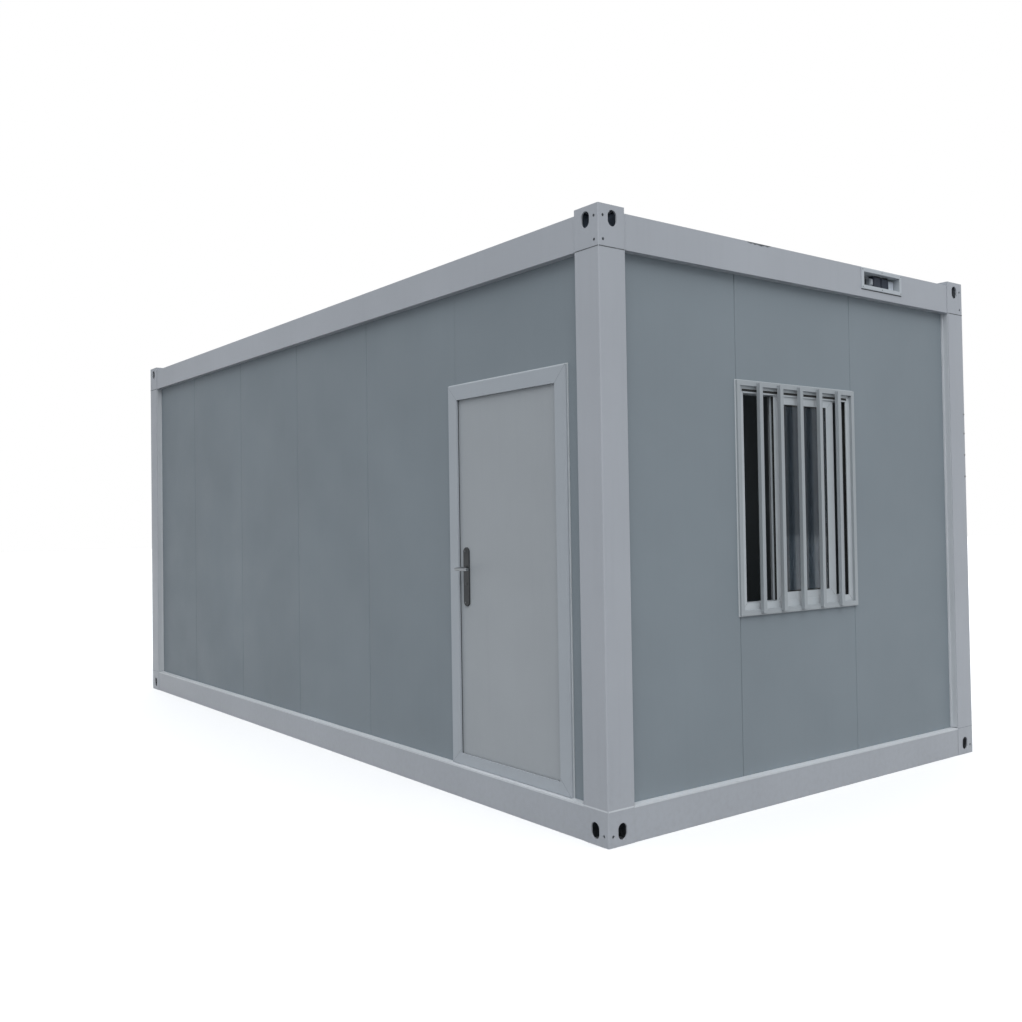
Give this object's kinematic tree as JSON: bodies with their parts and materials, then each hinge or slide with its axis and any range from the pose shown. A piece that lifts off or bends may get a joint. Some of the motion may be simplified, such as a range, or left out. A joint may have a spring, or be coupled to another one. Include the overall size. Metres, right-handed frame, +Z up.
{
  "type": "flat-pack container office",
  "caption": "Flat-pack steel container office with sandwich wall panels, an outer door with lever handle, a grilled sliding window and hollow corner castings.",
  "frame": {"origin": "on the ground, at the centre of the footprint over the corner castings", "axes": "+X along the length towards the window end, +Y away from the door wall, +Z up"},
  "size_m": [5.954, 3.0365, 2.85],
  "materials": {
    "frame_paint": "satin",
    "panel_paint": "satin",
    "door_frame_paint": "satin",
    "door_paint": "satin",
    "handle_plastic": "satin",
    "lever_steel": "brushed",
    "lock_steel": "brushed",
    "zinc_steel": "matte",
    "roof_zinc": "matte",
    "floor_board": "matte",
    "floor_covering": "satin",
    "ceiling_board": "matte",
    "window_plastic": "satin",
    "window_glass": "clear",
    "grille_paint": "satin",
    "inlet_paint": "satin",
    "socket_blue": "satin",
    "socket_grey": "satin"
  },
  "bodies": {
    "root": {"back_floor_beam": "frame_paint", "back_left_base_casting": "frame_paint", "back_left_post": "frame_paint", "back_left_roof_casting": "frame_paint", "back_right_base_casting": "frame_paint", "back_right_post": "frame_paint", "back_right_roof_casting": "frame_paint", "back_roof_beam": "frame_paint", "back_wall_panels": "panel_paint", "ceiling": "ceiling_board", "door_frame": "door_frame_paint", "earth_socket": "socket_grey", "floor_board": "floor_board", "floor_covering": "floor_covering", "floor_joists": "zinc_steel", "front_floor_beam": "frame_paint", "front_left_base_casting": "frame_paint", "front_left_post": "frame_paint", "front_left_roof_casting": "frame_paint", "front_right_base_casting": "frame_paint", "front_right_post": "frame_paint", "front_right_roof_casting": "frame_paint", "front_roof_beam": "frame_paint", "front_wall_corner_strip": "panel_paint", "front_wall_door_side": "panel_paint", "front_wall_over_door": "panel_paint", "front_wall_panels": "panel_paint", "hinge_frame_halves": "zinc_steel", "inlet_box": "inlet_paint", "left_floor_beam": "frame_paint", "left_roof_beam": "frame_paint", "left_wall_panels": "panel_paint", "right_floor_beam": "frame_paint", "right_roof_beam": "frame_paint", "right_wall_over_window": "panel_paint", "right_wall_side_panels": "panel_paint", "right_wall_under_window": "panel_paint", "roof_purlins": "zinc_steel", "roof_sheet": "roof_zinc", "supply_sockets": "socket_blue", "window_frame": "window_plastic", "window_glass": "window_glass", "window_grille": "grille_paint", "window_sash_inner": "window_plastic", "window_sash_outer": "window_plastic"},
    "door": {"door_leaf": "door_paint", "handle_plates": "handle_plastic", "lock_cylinder": "lock_steel", "hinge_leaf_halves": "zinc_steel"},
    "lever": {"door_lever": "lever_steel"}
  },
  "joints": [
    {"name": "door_hinge", "type": "hinge", "parent": "root", "child": "door", "pos_m": [2.6325, -1.404, 1.155], "axis": [0, 0, -1], "range_deg": [0, 95]},
    {"name": "door_lever", "type": "hinge", "parent": "door", "child": "lever", "pos_m": [1.871, -1.4355, 1.195], "axis": [0, 1, 0], "range_deg": [0, 40], "stiffness_Nm_per_rad": 1.5, "springref_deg": -34.38}
  ]
}
